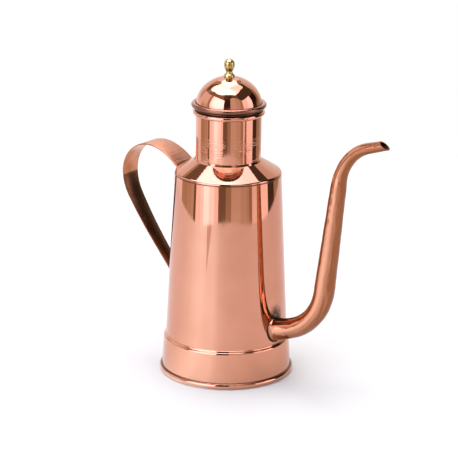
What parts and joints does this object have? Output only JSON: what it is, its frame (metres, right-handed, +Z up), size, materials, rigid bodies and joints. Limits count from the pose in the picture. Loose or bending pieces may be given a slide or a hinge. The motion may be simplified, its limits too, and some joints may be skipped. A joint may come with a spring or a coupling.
{
  "type": "oil dispenser with long spout",
  "caption": "Copper oil dispenser: tapered pot on a wired foot, straight neck, swan-neck pouring spout, strap handle and a lift-off domed lid with a turned knob.",
  "frame": {"origin": "centre of the pot's foot, on the surface that it stands on", "axes": "+Z up along the pot's axis, +X towards the spout, -X towards the handle, Y across, with the XZ plane through the spout and the handle"},
  "size_m": [0.2518, 0.1098, 0.2611],
  "materials": {
    "polished_copper": "polished, bare copper sheet",
    "satin_copper": "satin, hand-worked copper",
    "copper_wire": "drawn copper wire",
    "braze": "brazed and buffed fillet",
    "tin_solder": "soft solder, wiped",
    "turned_brass": "turned and polished brass",
    "screw_steel": "zinc-plated steel"
  },
  "bodies": {
    "pot": {"body_shell": "polished_copper", "base_band": "polished_copper", "foot_wire": "copper_wire", "bottom_plate": "satin_copper", "shoulder": "polished_copper", "neck": "polished_copper", "neck_wire": "copper_wire", "neck_solder": "braze", "spout": "satin_copper", "spout_solder": "braze", "handle_strap": "satin_copper", "handle_top_solder": "braze", "handle_foot_solder": "braze"},
    "lid": {"lid_dome": "polished_copper", "lid_wire": "copper_wire", "lid_collar": "satin_copper", "lid_solder": "tin_solder", "knob": "turned_brass", "knob_washer": "turned_brass", "knob_screw": "screw_steel"}
  },
  "joints": [
    {"name": "lid_lift", "type": "slide", "parent": "pot", "child": "lid", "axis": [0, 0, 1], "range_m": [0, 0.08]}
  ]
}
